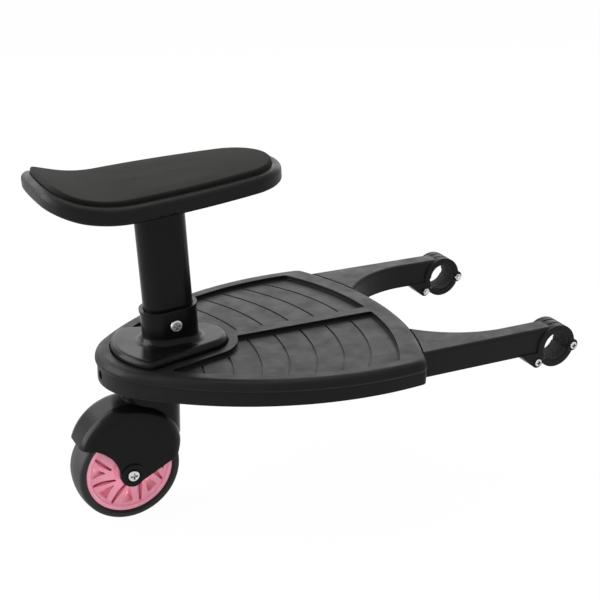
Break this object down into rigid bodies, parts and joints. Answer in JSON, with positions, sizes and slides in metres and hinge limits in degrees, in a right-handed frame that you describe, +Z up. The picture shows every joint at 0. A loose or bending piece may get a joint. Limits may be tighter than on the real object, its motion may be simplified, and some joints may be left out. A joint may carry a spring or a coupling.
{
  "type": "buggy board with seat",
  "caption": "Ride-on board with a saddle seat and a trailing caster wheel, hung from hinged tube clamps on a pushchair axle.",
  "frame": {"origin": "middle of the common axis of the two tube clamps, halfway between them", "axes": "+X forward to the pushchair, square to the clamp axis; +Y to the left along the clamp axis; +Z up"},
  "size_m": [0.5848, 0.301, 0.391],
  "materials": {
    "black_plastic": "fine-grained black moulding",
    "black_satin": "smooth satin black moulding",
    "grip_rubber": "soft matt rubber",
    "zinc_steel": "bright zinc plate",
    "bearing_steel": "ground steel",
    "seat_vinyl": "matt grained vinyl over foam",
    "bush_nylon": "natural nylon",
    "tyre_rubber": "smooth black tread",
    "pink_plastic": "pink moulding"
  },
  "bodies": {
    "board": {"deck": "black_plastic", "arm_left": "black_plastic", "arm_right": "black_plastic", "grip_pad_upper_left": "grip_rubber", "grip_pad_upper_right": "grip_rubber", "clamp_hinge_bolts": "zinc_steel", "clamp_hinge_nuts": "zinc_steel", "clamp_lock_bolts": "zinc_steel", "clamp_lock_nuts": "zinc_steel", "arm_screws": "zinc_steel", "seat_base": "black_satin", "seat_base_screws": "zinc_steel", "seat_post": "black_satin", "post_bolt": "zinc_steel", "post_nut": "zinc_steel", "seat_pan": "black_plastic", "seat_screws": "zinc_steel", "seat_pad": "seat_vinyl", "swivel_bush_lower": "bush_nylon", "swivel_bush_upper": "bush_nylon"},
    "caster": {"caster_fork": "black_satin", "swivel_pin": "zinc_steel", "swivel_washer": "zinc_steel", "swivel_nut": "zinc_steel", "axle_sleeve": "zinc_steel", "axle_spacers": "bush_nylon", "axle_bolt": "zinc_steel", "axle_nut": "zinc_steel"},
    "wheel": {"tyre": "tyre_rubber", "wheel_hub": "pink_plastic", "wheel_bearings": "bearing_steel"},
    "jaw_left": {"clamp_jaw_left": "black_plastic", "grip_pad_lower_left": "grip_rubber"},
    "jaw_right": {"clamp_jaw_right": "black_plastic", "grip_pad_lower_right": "grip_rubber"}
  },
  "joints": [
    {"name": "caster_swivel", "type": "hinge", "parent": "board", "child": "caster", "pos_m": [-0.424, 0, -0.01], "axis": [0, 0, 1], "continuous": true},
    {"name": "wheel_spin", "type": "hinge", "parent": "caster", "child": "wheel", "pos_m": [-0.468, 0, -0.1075], "axis": [0, 1, 0], "continuous": true},
    {"name": "jaw_left_hinge", "type": "hinge", "parent": "board", "child": "jaw_left", "pos_m": [-0.0245, 0.1165, -0.0155], "axis": [0, 1, 0], "range_deg": [0, 65]},
    {"name": "jaw_right_hinge", "type": "hinge", "parent": "board", "child": "jaw_right", "pos_m": [-0.0245, -0.1165, -0.0155], "axis": [0, 1, 0], "range_deg": [0, 65]}
  ]
}
